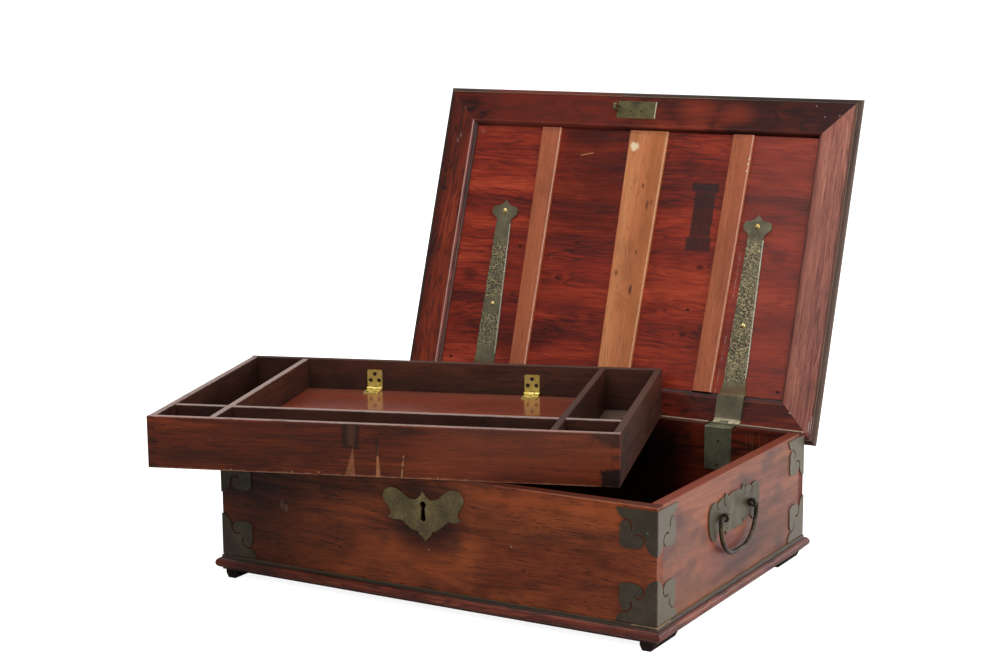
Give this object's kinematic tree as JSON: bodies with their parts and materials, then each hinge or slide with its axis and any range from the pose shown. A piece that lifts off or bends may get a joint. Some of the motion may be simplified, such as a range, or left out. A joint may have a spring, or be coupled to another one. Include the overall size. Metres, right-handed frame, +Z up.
{
  "type": "traveling desk box",
  "caption": "Moulded hardwood desk box with a hinged panelled lid, a lift-out compartment till with an inner flap, a box lock, scrolled metal mounts and bail side handles.",
  "frame": {"origin": "centre of the case's footprint, on the surface that its four feet stand on", "axes": "+X runs to the right along the front, +Y from the front (lock side) to the back (hinge side), +Z up"},
  "size_m": [0.6261, 0.5884, 0.483],
  "materials": {
    "case_wood": "old red-brown hardwood, waxed and worn",
    "moulding_wood": "darker stained hardwood moulding",
    "plain_wood": "dark unfinished hardwood",
    "mount_brass": "cast brass, patinated almost black",
    "escutcheon_brass": "patinated brass with rubbed edges",
    "lock_iron": "old iron lock, dull",
    "link_brass": "dull brass",
    "handle_plate_brass": "patinated brass",
    "bail_brass": "dark patinated brass, rubbed bright where held",
    "hinge_brass": "dark patinated brass",
    "nail_brass": "bright domed brass",
    "strap_brass": "mottled engraved brass",
    "batten_wood": "lighter replaced hardwood",
    "panel_wood": "deep red hardwood, satin",
    "lid_wood": "old red-brown hardwood",
    "flap_wood": "dark polished hardwood",
    "butt_brass": "clean bright brass",
    "till_wood": "dark hardwood, thin boards"
  },
  "bodies": {
    "case": {"case_front": "case_wood", "case_back": "case_wood", "case_left": "case_wood", "case_right": "case_wood", "case_floor": "case_wood", "till_ledges": "plain_wood", "feet": "plain_wood", "base_moulding_front": "moulding_wood", "base_moulding_right": "moulding_wood", "base_moulding_back": "moulding_wood", "base_moulding_left": "moulding_wood", "mount_upper_front_left": "mount_brass", "mount_upper_front_right": "mount_brass", "mount_upper_back_left": "mount_brass", "mount_upper_back_right": "mount_brass", "mount_lower_front_left": "mount_brass", "mount_lower_front_right": "mount_brass", "mount_lower_back_left": "mount_brass", "mount_lower_back_right": "mount_brass", "escutcheon": "escutcheon_brass", "escutcheon_nails": "escutcheon_brass", "lock_case": "lock_iron", "lock_cap": "lock_iron", "handle_plate_left": "handle_plate_brass", "handle_plate_right": "handle_plate_brass", "handle_eyes_left": "bail_brass", "handle_eyes_right": "bail_brass", "hinge_leaf_left": "hinge_brass", "hinge_leaf_right": "hinge_brass", "hinge_pins": "hinge_brass"},
    "lid": {"lid_rail_front": "lid_wood", "lid_rail_back": "lid_wood", "lid_rail_left": "lid_wood", "lid_rail_right": "lid_wood", "lid_panel": "panel_wood", "lid_batten_left": "batten_wood", "lid_batten_centre": "batten_wood", "lid_batten_right": "batten_wood", "strap_left": "strap_brass", "strap_right": "strap_brass", "strap_nails": "nail_brass", "lock_link": "link_brass"},
    "till": {"till_front": "till_wood", "till_back": "till_wood", "till_left": "till_wood", "till_right": "till_wood", "till_floor": "till_wood", "till_divider_left": "till_wood", "till_divider_right": "till_wood", "till_divider_long": "till_wood", "flap_bearers": "till_wood", "flap_hinge_wall_leaves": "butt_brass", "flap_hinge_pins": "butt_brass"},
    "flap": {"till_flap": "flap_wood", "flap_hinge_flap_leaves": "butt_brass"},
    "bail_left": {"handle_bail_left": "bail_brass"},
    "bail_right": {"handle_bail_right": "bail_brass"},
    "bolt": {"lock_bolt": "lock_iron"}
  },
  "joints": [
    {"name": "lid_hinge", "type": "hinge", "parent": "case", "child": "lid", "pos_m": [0, 0.1781, 0.13615], "axis": [1, 0, 0], "range_deg": [0, 108.26]},
    {"name": "till_lift", "type": "slide", "parent": "case", "child": "till", "axis": [0, -1, 0], "range_m": [0, 0.42]},
    {"name": "flap_hinge", "type": "hinge", "parent": "till", "child": "flap", "pos_m": [-0.13863, 0.09536, 0.1585], "axis": [-0.9464, -0.3231, 0], "range_deg": [0, 92]},
    {"name": "bail_left_swing", "type": "hinge", "parent": "case", "child": "bail_left", "pos_m": [-0.256, -0.005, 0.096], "axis": [0, 1, 0], "range_deg": [0, 165]},
    {"name": "bail_right_swing", "type": "hinge", "parent": "case", "child": "bail_right", "pos_m": [0.256, -0.005, 0.096], "axis": [0, -1, 0], "range_deg": [0, 165]},
    {"name": "lock_throw", "type": "slide", "parent": "case", "child": "bolt", "axis": [-1, 0, 0], "range_m": [0, 0.01]}
  ],
  "couplings": [
    {"joint": "till_lift", "follows": "lid_hinge", "m_per_rad": 0.218}
  ]
}
